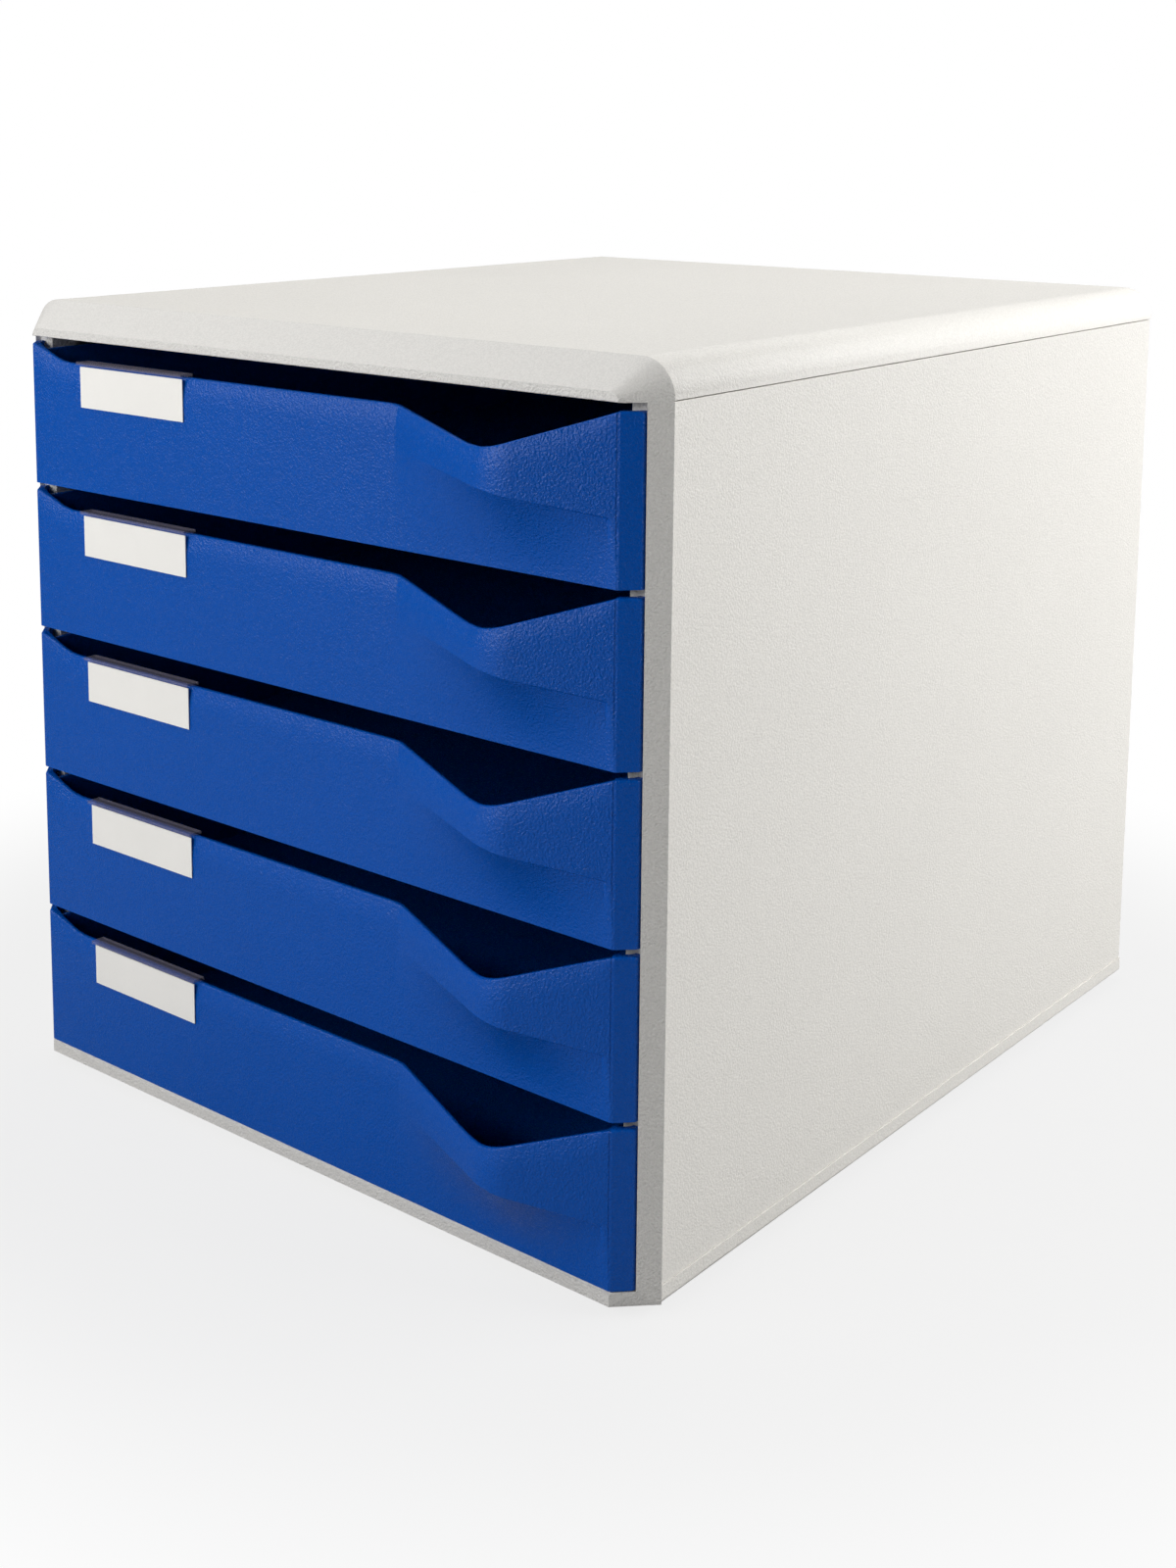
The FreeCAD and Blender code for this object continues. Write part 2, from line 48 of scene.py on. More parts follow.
bl_info = {
    "name": "Desktop drawer unit",
    "version": (1, 0, 0),
    "blender": (4, 5, 0),
    "location": "View3D > Sidebar > Drawer unit",
    "description": "Builds a desktop drawer unit around its packed frame",
    "category": "Add Mesh",
}

# Sizes, colours and powers that a user may change

GRAIN_SIZE = 0.00095


def length(name, description, default):
    """A size property in metres."""
    return bpy.props.FloatProperty(
        name=name, description=description, default=default, unit="LENGTH", precision=5
    )


def colour(name, description, default):
    """A colour property, in linear values."""
    return bpy.props.FloatVectorProperty(
        name=name, description=description, default=default, subtype="COLOR", size=3, min=0, max=1
    )


def power(name, description, default):
    """A property for the power of a lamp."""
    return bpy.props.FloatProperty(
        name=name, description=description, default=default, unit="POWER"
    )


class DrawerUnitSizes(bpy.types.PropertyGroup):
    """Sizes of the drawer fronts and trays."""

    front_height: length("Front height", "Height of a front at its two ends", 0.0516)
    front_low: length("Low edge", "Height of a front along its long straight edge", 0.04565)
    front_wall: length("Front wall", "Thickness of a front", 0.0024)
    front_depth: length("Front depth", "How far the ends of a front reach back", 0.0075)
    end_slant: length("End slant", "Width of the slant at each end of a front", 0.0053)
    rise_width: length("Left rise", "Width over which the edge rises at the left", 0.0151)
    rise_radius: length("Left rise round", "Round where the left rise starts", 0.027)
    grip_start: length("Grip start", "Where the grip starts, from the middle", 0.0474)
    grip_peak: length("Grip peak", "Where the grip stands out most, from the middle", 0.0978)
    grip_reach: length("Grip reach", "How far the grip stands out", 0.0153)
    grip_radius: length("Grip round", "Round of the grip in plan", 0.018)
    dip_start: length("Dip start", "Where the edge starts to fall, from the middle", 0.0456)
    dip_start_radius: length("Dip start round", "Round where the dip starts", 0.04)
    dip_middle: length("Dip middle", "Where the dip is lowest, from the middle", 0.0935)
    dip_level: length("Dip level", "Height of the dip's corner", 0.0377)
    dip_radius: length("Dip round", "Round at the bottom of the dip", 0.038)
    crease_start: length("Crease start", "Height of the crease at its left end", 0.032)
    crease_peak: length("Crease peak", "Height of the crease under the grip's peak", 0.0265)
    crease_end: length("Crease end", "Height of the crease at its right end", 0.0199)
    crease_step: length("Crease step", "Set-back under the crease's right end", 0.0009)
    edge_roll: length("Edge roll", "How far the upper edge rolls back", 0.0011)
    roll_height: length("Roll height", "Height over which the edge rolls back", 0.0085)
    rim_radius: length("Rim radius", "Round of the upper edge", 0.0008)
    tray_width: length("Tray width", "Width of a tray behind its front", 0.2636)
    tray_wall: length("Tray wall", "Thickness of a tray's walls and bottom", 0.0018)
    tray_start: length("Tray start", "Where a tray starts behind the face of its front", 0.0015)
    tray_foot: length("Tray foot", "Height of a tray's bottom over the foot of its front", 0.0015)
    tray_top: length("Tray top", "Height of a tray's rim over the foot of its front", 0.0495)
    stop_reach: length("Stop reach", "How far a stop stands out from its tray", 0.0042)
    stop_root: length("Stop root", "How far a stop goes into the wall of its tray", 0.001)
    stop_place: length("Stop place", "Where a stop starts behind the face of its front", 0.275)
    stop_length: length("Stop length", "Length of a stop along its tray", 0.004)
    stop_foot: length("Stop foot", "Height of a stop's lower end over the foot of its front", 0.02)
    stop_top: length("Stop top", "Height of a stop's upper end over the foot of its front", 0.04)


class DrawerUnitFinish(bpy.types.PropertyGroup):
    """Colours and grain of the materials."""

    drawer_blue: colour("Drawer blue", "Colour of the drawers", (0.0, 0.08, 0.425))
    casing_white: colour("Casing", "Colour of the cover, panels and base", (0.805, 0.785, 0.742))
    # The front frame's grey is the casing's colour made a little darker as painted shade.
    frame_grey_painted_shade: colour("Front frame", "Colour of the front frame", (0.745, 0.73, 0.70))
    card_white: colour("Card", "Colour of the label cards", (0.89, 0.875, 0.835))
    clear_tint: colour("Clear plastic", "Tint of the label holders", (0.30, 0.28, 0.36))
    grain_size: length("Grain size", "Width of one wrinkle of the moulded grain", GRAIN_SIZE)
    grain_depth: length("Grain depth", "Depth of the moulded grain", 0.00035)


class DrawerUnitStage(bpy.types.PropertyGroup):
    """Floor and light."""

    floor_white: colour("Floor", "Colour of the floor", (0.4, 0.4, 0.4))
    shadow_reach: length("Shadow reach", "How far out the floor keeps the whole shadow", 0.24)
    white_from: length("White from", "Where the floor has turned plain white", 0.42)
    front_light: power("Front light", "Power of the front softbox", 5.8)
    low_light: power("Low light", "Power of the low front softbox", 1.3)
    side_light: power("Side light", "Power of the right softbox", 17.2)
    rear_light: power("Rear light", "Power of the high rear softbox", 4.1)
    high_light: power("High light", "Power of the high left softbox", 3.3)
    sky_light: bpy.props.FloatProperty(
        name="Sky", description="Strength of the plain surrounding light", default=0.0, min=0
    )


# Shader nodes

FLOAT = "NodeSocketFloat"
COLOR = "NodeSocketColor"
VECTOR = "NodeSocketVector"

# Inputs and output of the Mix node when it mixes colours
MIX_SHARE, MIX_FIRST, MIX_SECOND, MIX_RESULT = 0, 6, 7, 2

# Most values of one noise, and of two noises added up, fall between these
NOISE_SPAN = (0.3, 0.7)
TWO_NOISES_SPAN = (0.6, 1.4)


class Nodes:
    """Short ways to add and link shader nodes in one tree."""

    def __init__(self, tree):
        self.tree = tree

    def add(self, kind, inputs=None, **settings):
        """A new node with its settings and inputs."""
        node = self.tree.nodes.new(kind)
        for key, setting in settings.items():
            setattr(node, key, setting)
        self.fill(node, inputs or {})
        return node

    def fill(self, node, inputs):
        """Gives several inputs of a node their values or links."""
        for key, source in inputs.items():
            self.feed(node.inputs[key], source)

    def feed(self, socket, source):
        """Gives one input its value or link."""
        if isinstance(source, bpy.types.NodeSocket):
            self.tree.links.new(source, socket)
        else:
            socket.default_value = source

    def math(self, operation, *sources):
        """A calculation with numbers."""
        return self.add("ShaderNodeMath", dict(enumerate(sources)), operation=operation).outputs[0]

    def vector(self, operation, *sources, **named):
        """A calculation with vectors."""
        inputs = {**dict(enumerate(sources)), **named}
        return self.add("ShaderNodeVectorMath", inputs, operation=operation).outputs[0]

    def ramp(self, value, span, result, smooth=True):
        """A value moved from one span to another and held at its ends."""
        kind = "SMOOTHSTEP" if smooth else "LINEAR"
        inputs = {
            "Value": value,
            "From Min": span[0],
            "From Max": span[1],
            "To Min": result[0],
            "To Max": result[1],
        }
        return self.add("ShaderNodeMapRange", inputs, interpolation_type=kind).outputs[0]

    def noise(self, vector, scale, detail=2.0, roughness=0.5, distortion=0.0):
        """A noise between 0 and 1."""
        inputs = {
            "Vector": vector,
            "Scale": scale,
            "Detail": detail,
            "Roughness": roughness,
            "Distortion": distortion,
        }
        return self.add("ShaderNodeTexNoise", inputs).outputs["Fac"]

    def mix_colour(self, share, first, second, blend="MIX"):
        """Two colours mixed."""
        inputs = {MIX_SHARE: share, MIX_FIRST: first, MIX_SECOND: second}
        node = self.add("ShaderNodeMix", inputs, data_type="RGBA", blend_type=blend)
        return node.outputs[MIX_RESULT]

    def dimmed(self, base, tone):
        """A colour times a grey tone."""
        grey = self.add("ShaderNodeCombineColor", {0: tone, 1: tone, 2: tone})
        return self.mix_colour(1.0, base, grey.outputs[0], "MULTIPLY")

    def bump(self, height, depth):
        """A normal that follows a height between 0 and 1."""
        return self.add("ShaderNodeBump", {"Height": height, "Distance": depth}).outputs[0]

    def upward(self, output):
        """The upward share of one of the texture coordinates."""
        where = self.add("ShaderNodeTexCoord").outputs[output]
        return self.add("ShaderNodeSeparateXYZ", {0: where}).outputs["Z"]

    def seen(self):
        """1 for what the camera sees, also through clear plastic, and 0 for all other light."""
        path = self.add("ShaderNodeLightPath").outputs
        return self.math("MAXIMUM", path["Is Camera Ray"], path["Is Transmission Ray"])

    def placed(self, name, inputs):
        """The outputs of a shared node group that is placed in this tree."""
        tree = bpy.data.node_groups[name]
        return self.add("ShaderNodeGroup", inputs, node_tree=tree).outputs


def group(name, inputs, outputs):
    """A new shader node group with named sockets: its nodes, its inputs and its outputs."""
    tree = bpy.data.node_groups.new(name, "ShaderNodeTree")
    for label, kind, default in inputs:
        socket = tree.interface.new_socket(label, in_out="INPUT", socket_type=kind)
        if default is not None:
            socket.default_value = default
    for label, kind in outputs:
        tree.interface.new_socket(label, in_out="OUTPUT", socket_type=kind)
    nodes = Nodes(tree)
    return nodes, nodes.add("NodeGroupInput").outputs, nodes.add("NodeGroupOutput").inputs


# The moulded grain is turned askew, so that its noise never lines up with a flat face.
GRAIN_TURN = (0.6, 0.4, 0.9)
# How far the grain wanders, as a share of its size
WARP_REACH = 0.5
# Folds: how far the noise may leave its middle inside one, and its share of the height
FOLD_WIDTH = 0.11
FOLD_HEIGHT = 0.05
# Pads and fine grain: how many times finer than the folds, and the share of the fine grain
PAD_SCALE = 1.25
FINE_SCALE = 4.0
FINE_HEIGHT = 0.08


def grain_group():
    """Leather-like grain of moulded plastic: low pads between thin wandering folds."""
    nodes, given, made = group(
        "moulded_grain",
        [("Vector", VECTOR, None), ("Size", FLOAT, GRAIN_SIZE)],
        [("Height", FLOAT), ("Folds", FLOAT)],
    )
    scale = nodes.math("DIVIDE", 1.0, given["Size"])
    turned = nodes.add("ShaderNodeMapping", {"Vector": given["Vector"], "Rotation": GRAIN_TURN})
    turned = turned.outputs[0]
    warp = nodes.add("ShaderNodeTexNoise", {"Vector": turned, "Scale": scale, "Detail": 1.0})
    drift = nodes.vector("SUBTRACT", warp.outputs["Color"], (0.5, 0.5, 0.5))
    reach = nodes.math("MULTIPLY", given["Size"], WARP_REACH)
    place = nodes.vector("ADD", turned, nodes.vector("SCALE", drift, Scale=reach))
    wander = nodes.noise(place, scale, 1.5, 0.45)
    off = nodes.math("ABSOLUTE", nodes.math("SUBTRACT", wander, 0.5))
    folds = nodes.ramp(off, (0.0, FOLD_WIDTH), (0.0, 1.0))
    pads = nodes.noise(place, nodes.math("MULTIPLY", scale, PAD_SCALE), 1.0)
    fine = nodes.noise(turned, nodes.math("MULTIPLY", scale, FINE_SCALE), 2.0)
    height = nodes.math("MULTIPLY_ADD", folds, FOLD_HEIGHT, pads)
    nodes.feed(made["Height"], nodes.math("MULTIPLY_ADD", fine, FINE_HEIGHT, height))
    nodes.feed(made["Folds"], nodes.math("SUBTRACT", 1.0, folds))


# Scale and share of the slow clouds and of the dust
CLOUD_SCALE, CLOUD_SHARE = 14.0, 0.65
DUST_SCALE, DUST_SHARE = 420.0, 0.35


def drift_group():
    """Slow changes of tone over a large moulding, and faint dust that settles in its grain."""
    nodes, given, made = group(
        "tone_drift",
        [("Vector", VECTOR, None), ("Color", COLOR, (0.5, 0.5, 0.5, 1)), ("Amount", FLOAT, 0.03)],
        [("Color", COLOR)],
    )
    cloud = nodes.noise(given["Vector"], CLOUD_SCALE, 3.0, 0.55)
    dust = nodes.noise(given["Vector"], DUST_SCALE, 2.0, 0.6)
    cloud = nodes.math("MULTIPLY", cloud, CLOUD_SHARE)
    mixed = nodes.math("MULTIPLY_ADD", dust, DUST_SHARE, cloud)
    low = nodes.math("SUBTRACT", 1.0, given["Amount"])
    high = nodes.math("ADD", 1.0, given["Amount"])
    tone = nodes.ramp(mixed, NOISE_SPAN, (low, high), smooth=False)
    nodes.feed(made["Color"], nodes.dimmed(given["Color"], tone))


# Materials

PLASTIC_IOR = 1.49
BLACK = (0.0, 0.0, 0.0, 1.0)
WHITE = (1.0, 1.0, 1.0, 1.0)


def blank(name):
    """A new material: the nodes of its empty tree, its Principled shader and its coordinates."""
    made = bpy.data.materials.new(name)
    made.use_nodes = True
    made.node_tree.nodes.clear()
    nodes = Nodes(made.node_tree)
    shader = nodes.add("ShaderNodeBsdfPrincipled")
    nodes.add("ShaderNodeOutputMaterial", {"Surface": shader.outputs[0]})
    where = nodes.add("ShaderNodeTexCoord").outputs["Object"]
    return nodes, shader, where


def rgba(value):
    """A colour with its alpha."""
    return (*value, 1.0)


# The folds of the grain are darker than its pads by painted shade, and duller.
FOLD_SHARE = 0.5
FOLD_PAINTED_SHADE = 0.16
FOLD_DULLNESS = 0.08
# Faces that lean upwards more than this lose their grain, down to a last share of its depth.
SMOOTH_LEAN = (0.3, 0.6)
SMOOTH_GRAIN = 0.12


def moulded(name, base, size, depth, roughness, drift=0.012, gloss=0.5, plain_top=False):
    """Grained plastic, whose faces that lean upwards stay smooth where plain_top is set."""
    nodes, shader, where = blank(name)
    grain = nodes.placed("moulded_grain", {"Vector": where, "Size": size})
    inputs = {"Vector": where, "Color": rgba(base), "Amount": drift}
    tone = nodes.placed("tone_drift", inputs)["Color"]
    # Painted shade: the folds of the grain are mixed towards black.
    painted_fold_shade = nodes.mix_colour(FOLD_PAINTED_SHADE, tone, BLACK)
    folds = nodes.math("MULTIPLY", grain["Folds"], FOLD_SHARE)
    height = grain["Height"]
    if plain_top:
        share = nodes.ramp(nodes.upward("Normal"), SMOOTH_LEAN, (1.0, SMOOTH_GRAIN))
        height = nodes.math("MULTIPLY", height, share)
    dullness = (roughness, roughness + FOLD_DULLNESS)
    inputs = {
        "Base Color": nodes.mix_colour(folds, tone, painted_fold_shade),
        "Roughness": nodes.ramp(grain["Folds"], (0.0, 1.0), dullness, smooth=False),
        "Normal": nodes.bump(height, depth),
        "IOR": PLASTIC_IOR,
        "Specular IOR Level": gloss,
    }
    nodes.fill(shader, inputs)


FIBRE_SCALE, FIBRE_DEPTH = 1900.0, 0.00001
CARD_CLOUD_SCALE = 60.0


def card_material(name, base):
    """Plain card with faint fibres."""
    nodes, shader, where = blank(name)
    fibre = nodes.noise(where, FIBRE_SCALE, 3.0, 0.6, 0.6)
    cloud = nodes.noise(where, CARD_CLOUD_SCALE, 2.0)
    tone = nodes.ramp(nodes.math("ADD", fibre, cloud), TWO_NOISES_SPAN, (0.965, 1.0))
    inputs = {
        "Base Color": nodes.dimmed(rgba(base), tone),
        "Roughness": nodes.ramp(fibre, NOISE_SPAN, (0.72, 0.9)),
        "Normal": nodes.bump(fibre, FIBRE_DEPTH),
    }
    nodes.fill(shader, inputs)


HAZE_SCALE = 90.0
RIPPLE_SCALE, RIPPLE_DEPTH = 240.0, 0.00002
# The hook starts at this share of the holder's height.
HOOK_START = (0.925, 0.95)
HOOK_OPACITY = 0.3
# Fresnel values between which the outer faces turn from clear to their rim's opacity
RIM_IOR = 1.45
RIM_SPAN = (0.06, 0.7)
RIM_OPACITY = 0.6


def clear_material(name, tint):
    """Clear moulded plastic, whose hook over the front's edge shows its grey violet tint."""
    nodes, shader, where = blank(name)
    haze = nodes.noise(where, HAZE_SCALE, 3.0, 0.6)
    hook = nodes.ramp(nodes.upward("Generated"), HOOK_START, (0.0, HOOK_OPACITY))
    edge = nodes.add("ShaderNodeFresnel", {"IOR": RIM_IOR}).outputs[0]
    rim = nodes.ramp(edge, RIM_SPAN, (0.0, RIM_OPACITY), smooth=False)
    inner = nodes.add("ShaderNodeNewGeometry").outputs["Backfacing"]
    rim = nodes.math("MULTIPLY", rim, nodes.math("SUBTRACT", 1.0, inner))
    inputs = {
        "Base Color": rgba(tint),
        "Roughness": nodes.ramp(haze, NOISE_SPAN, (0.08, 0.16)),
        "Alpha": nodes.math("MAXIMUM", hook, rim),
        "Normal": nodes.bump(nodes.noise(where, RIPPLE_SCALE, 1.0), RIPPLE_DEPTH),
        "IOR": PLASTIC_IOR,
    }
    nodes.fill(shader, inputs)


FLOOR_SPECK_SCALE = 30.0
FLOOR_ROUGHNESS = 0.9
# Share of plain white in the floor close to the unit
NEAR_GLOW = 0.8


def floor_material(name, base, near, far):
    """Pale floor that keeps the unit's shadow and turns plain white away from it."""
    nodes, shader, where = blank(name)
    speck = nodes.noise(where, FLOOR_SPECK_SCALE, 3.0)
    tone = nodes.ramp(speck, NOISE_SPAN, (0.985, 1.0))
    inputs = {
        "Base Color": nodes.dimmed(rgba(base), tone),
        "Roughness": FLOOR_ROUGHNESS,
        "Specular IOR Level": 0.0,
    }
    nodes.fill(shader, inputs)
    glow = nodes.add("ShaderNodeEmission", {"Color": WHITE, "Strength": 1.0})
    seen = nodes.seen()
    away = nodes.add("ShaderNodeVectorMath", {0: where}, operation="LENGTH").outputs["Value"]
    share = nodes.math("MULTIPLY", seen, nodes.ramp(away, (near, far), (NEAR_GLOW, 1.0)))
    both = nodes.add("ShaderNodeMixShader", {0: share, 1: shader.outputs[0], 2: glow.outputs[0]})
    out = next(node for node in nodes.tree.nodes if node.type == "OUTPUT_MATERIAL")
    nodes.feed(out.inputs["Surface"], both.outputs[0])


# Meshes

# Corners that are closer than this are one corner.
WELD_REACH = 0.000002


def mesh_object(name, points, faces):
    """A mesh object from points and faces, with its faces turned outwards."""
    mesh = bpy.data.meshes.new(name)
    mesh.from_pydata(points, [], faces)
    shape = bmesh.new()
    shape.from_mesh(mesh)
    bmesh.ops.recalc_face_normals(shape, faces=shape.faces)
    shape.to_mesh(mesh)
    shape.free()
    made = bpy.data.objects.new(name, mesh)
    bpy.context.scene.collection.objects.link(made)
    return made


def soften(made, width, segments=2, angle=28):
    """Joins split corners and rounds the edges of an object that are sharper than the angle."""
    weld = made.modifiers.new("weld", "WELD")
    weld.merge_threshold = WELD_REACH
    bevel = made.modifiers.new("edges", "BEVEL")
    bevel.width = width
    bevel.segments = segments
    bevel.limit_method = "ANGLE"
    bevel.angle_limit = math.radians(angle)
    bevel.harden_normals = True


def shade_smooth(made, angle):
    """Smooth faces, with edges kept sharp above the angle."""
    mesh = made.data
    shape = bmesh.new()
    shape.from_mesh(mesh)
    for face in shape.faces:
        face.smooth = True
    for edge in shape.edges:
        if len(edge.link_faces) == 2 and edge.calc_face_angle() > math.radians(angle):
            edge.smooth = False
    shape.to_mesh(mesh)
    shape.free()
    return made


def finish_piece(made, material, body):
    """Gives a piece its material and slot, and lets it ride on a body."""
    made.data.materials.clear()
    made.data.materials.append(material)
    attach(made, body)


def dress(node, material, width=0.0, segments=2):
    """Keeps a CAD node, with a new material and softened edges."""
    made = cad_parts[node]
    for slot in made.material_slots:
        slot.material = material
    if width:
        soften(made, width, segments)


# Drawer front

# Steps of a round in the upper edge and of the grip's round in plan
ROUND_STEPS = 10
ARC_STEPS = 22
# Columns between the flat front and the grip's round, and between that round and the right end
LEFT_SHARES = tuple(step / 9 for step in range(1, 9))
RIGHT_SHARES = (*(step / 12 for step in range(1, 11)), 0.89, 0.92, 0.95, 0.98)
# Columns of the flat front, from the middle: they are closer where the upper edge bends
RISE_COLUMNS = (-0.128, -0.125, -0.122, -0.119, -0.116, -0.113, -0.11, -0.105)
LOW_COLUMNS = tuple(-0.1 + 0.01 * step for step in range(13))
DIP_COLUMNS = (0.025, 0.03, 0.034, 0.037, 0.04, 0.043, 0.0455)
# The slanted ends stand at 45 degrees, and their corners are softened.
END_TURN = math.radians(45)
CORNER_SOFT = 0.0005
# Rows of a column: the chin below the crease, the wall above it, the roll and the rim
CHIN_STEPS = 12
CHIN_BEND = 0.1
WALL_SHARES = (0.03, 0.1, 0.3, 0.55, 0.8, 1.0)
ROLL_SHARES = (0.2, 0.4, 0.6, 0.8, 1.0)
RIM_TURNS = range(15, 91, 15)
# The roll fades out before the slanted ends, whose edge is straight.
ROLL_END = 0.001
ROLL_FADE = 0.006
# The crease's step ends in a hook, at this distance from the right end.
HOOK_PLACE = 0.003
HOOK_WIDTH = 0.001
# Edges of a front that are sharper than this many degrees stay sharp.
SHARP_ANGLE = 16


def mix(low, high, share):
    """The value at a share of the way from low to high."""
    return low + (high - low) * share


def round_corner(before, corner, after, radius):
    """Points of a round that replaces a corner in the plane."""
    inward = (before - corner).normalized()
    outward = (after - corner).normalized()
    half = inward.angle(outward) / 2
    middle = corner + (inward + outward).normalized() * (radius / math.sin(half))
    start = corner + inward * (radius / math.tan(half)) - middle
    end = corner + outward * (radius / math.tan(half)) - middle
    sweep = start.angle_signed(end)
    turns = [-sweep * step / ROUND_STEPS for step in range(ROUND_STEPS + 1)]
    return [middle + Matrix.Rotation(turn, 2) @ start for turn in turns]


def upper_edge(sizes, flat):
    """The front's upper edge as a line of (x, z) points from left to right."""
    low = sizes.front_low
    corners = [
        (Vector((-flat, sizes.front_height)), 0),
        (Vector((sizes.rise_width - flat, low)), sizes.rise_radius),
        (Vector((sizes.dip_start, low)), sizes.dip_start_radius),
        (Vector((sizes.dip_middle, sizes.dip_level)), sizes.dip_radius),
        (Vector((flat, sizes.front_height)), 0),
    ]
    line = [corners[0][0]]
    for (before, _), (corner, radius), (after, _) in zip(corners, corners[1:], corners[2:]):
        line += round_corner(before, corner, after, radius)
    return line + [corners[-1][0]]


def height_at(line, across):
    """Height of the upper edge above a place."""
    if across <= line[0].x:
        return line[0].y
    for start, end in zip(line, line[1:]):
        if across <= end.x:
            return mix(start.y, end.y, (across - start.x) / (end.x - start.x))
    return line[-1].y


def crease_at(sizes, across, flat):
    """Height of the crease above a place."""
    if across < sizes.grip_peak:
        share = (across - sizes.grip_start) / (sizes.grip_peak - sizes.grip_start)
        return mix(sizes.crease_start, sizes.crease_peak, share)
    share = (across - sizes.grip_peak) / (flat - sizes.grip_peak)
    return mix(sizes.crease_peak, sizes.crease_end, share)


def tangent_angle(start, centre, radius, turn):
    """Angle on the circle where the line from start touches it."""
    away = math.atan2(start[1] - centre[1], start[0] - centre[0])
    reach = math.hypot(start[0] - centre[0], start[1] - centre[1])
    return away + turn * math.acos(radius / reach)


def grip_plan(sizes, flat):
    """Places (x, depth) along the grip's outer face in plan, from its start to its end."""
    radius = sizes.grip_radius
    centre = (sizes.grip_peak, radius - sizes.grip_reach)
    start, end = (sizes.grip_start, 0.0), (flat, 0.0)
    low = tangent_angle(start, centre, radius, 1)
    high = tangent_angle(end, centre, radius, -1)
    arc = []
    for step in range(ARC_STEPS + 1):
        angle = mix(low, high, step / ARC_STEPS)
        x = centre[0] + radius * math.cos(angle)
        y = centre[1] + radius * math.sin(angle)
        arc.append((x, y))
    left = [(mix(start[0], arc[0][0], s), mix(0.0, arc[0][1], s)) for s in LEFT_SHARES]
    right = [(mix(arc[-1][0], end[0], s), mix(arc[-1][1], 0.0, s)) for s in RIGHT_SHARES]
    return left + arc + right


def front_columns(sizes, flat, side):
    """Columns of the front in plan, from left to right: outer place, inner place, grip's depth."""
    wall, back = sizes.front_wall, sizes.front_depth
    slant = side - flat
    turn = wall * math.tan(END_TURN / 2)
    soft = CORNER_SOFT
    lean = soft * math.cos(END_TURN)
    end = [
        ((side, back), (side - wall, back)),
        ((side, slant + soft), (side - wall, slant + turn + soft)),
        ((side - lean, slant - lean), (side - wall - lean, slant + turn - lean)),
        ((flat + lean, lean), (flat - turn + lean, wall + lean)),
        ((flat - soft, 0.0), (flat - turn - soft, wall)),
    ]
    columns = [((-out[0], out[1]), (-inn[0], inn[1]), 0.0) for out, inn in end]
    for x in RISE_COLUMNS + LOW_COLUMNS + DIP_COLUMNS:
        columns.append(((x, 0.0), (x, wall), 0.0))
    for x, depth in [(sizes.grip_start, 0.0)] + grip_plan(sizes, flat):
        columns.append(((x, 0.0), (x, wall), -depth))
    columns += [(out, inn, 0.0) for out, inn in reversed(end)]
    return columns


def step_at(sizes, across, flat):
    """How far the chin is set back from the crease, which grows to the right up to its hook."""
    start, last = sizes.grip_peak, flat - HOOK_PLACE
    if across < start:
        return 0.0
    if across < last:
        share = (across - start) / (last - start)
        return sizes.crease_step * share * share * (3 - 2 * share)
    return sizes.crease_step * max(0.0, 1 - (across - last) / HOOK_WIDTH)


def column_rows(sizes, across, high, flat, depth):
    """Rows of one column from its foot up: height, forward reach and how far it is rolled back."""
    crease = crease_at(sizes, max(across, sizes.grip_start), flat)
    chin = depth - min(depth, step_at(sizes, across, flat))
    rows = []
    for step in range(CHIN_STEPS + 1):
        share = step / CHIN_STEPS
        rise = (1 - CHIN_BEND) * share + CHIN_BEND * share * share
        rows.append((crease * rise, chin * share * share, 0.0))
    plain = high - sizes.roll_height
    for share in WALL_SHARES:
        rows.append((mix(crease, plain, share), depth, 0.0))
    fade = min(1.0, max(0.0, (flat - ROLL_END - abs(across)) / ROLL_FADE))
    roll = sizes.edge_roll * fade
    rim = sizes.rim_radius
    for share in ROLL_SHARES:
        rows.append((mix(plain, high - rim, share), depth, roll * share * share))
    for turn in RIM_TURNS:
        angle = math.radians(turn)
        rows.append((high - rim * (1 - math.sin(angle)), depth, roll + rim * (1 - math.cos(angle))))
    return rows


def front_piece(name, sizes, level, place_y, side):
    """One drawer front as a closed shell whose wall bulges forward at the grip."""
    flat = side - sizes.end_slant
    line = upper_edge(sizes, flat)
    columns = front_columns(sizes, flat, side)
    points, faces = [], []
    for outer, inner, depth in columns:
        across = max(-flat, min(flat, outer[0]))
        rows = column_rows(sizes, across, height_at(line, across), flat, depth)
        for z, forward, rolled in rows:
            share = rolled / sizes.front_wall
            x, y = mix(outer[0], inner[0], share), mix(outer[1], inner[1], share)
            points.append((x, place_y + y - forward, level + z))
        for z, forward, _ in reversed(rows):
            points.append((inner[0], place_y + inner[1] - forward, level + z))
    count = len(points) // len(columns)
    for here in range(0, len(points) - count, count):
        for row in range(count):
            following = (row + 1) % count
            quad = (row, count + row, count + following, following)
            faces.append(tuple(here + corner for corner in quad))
    faces.append(tuple(range(count)))
    faces.append(tuple(range(len(points) - count, len(points))))
    return shade_smooth(mesh_object(name, points, faces), SHARP_ANGLE)


# Trays

# Width of a tray's softened edges
TRAY_SOFT = 0.0005


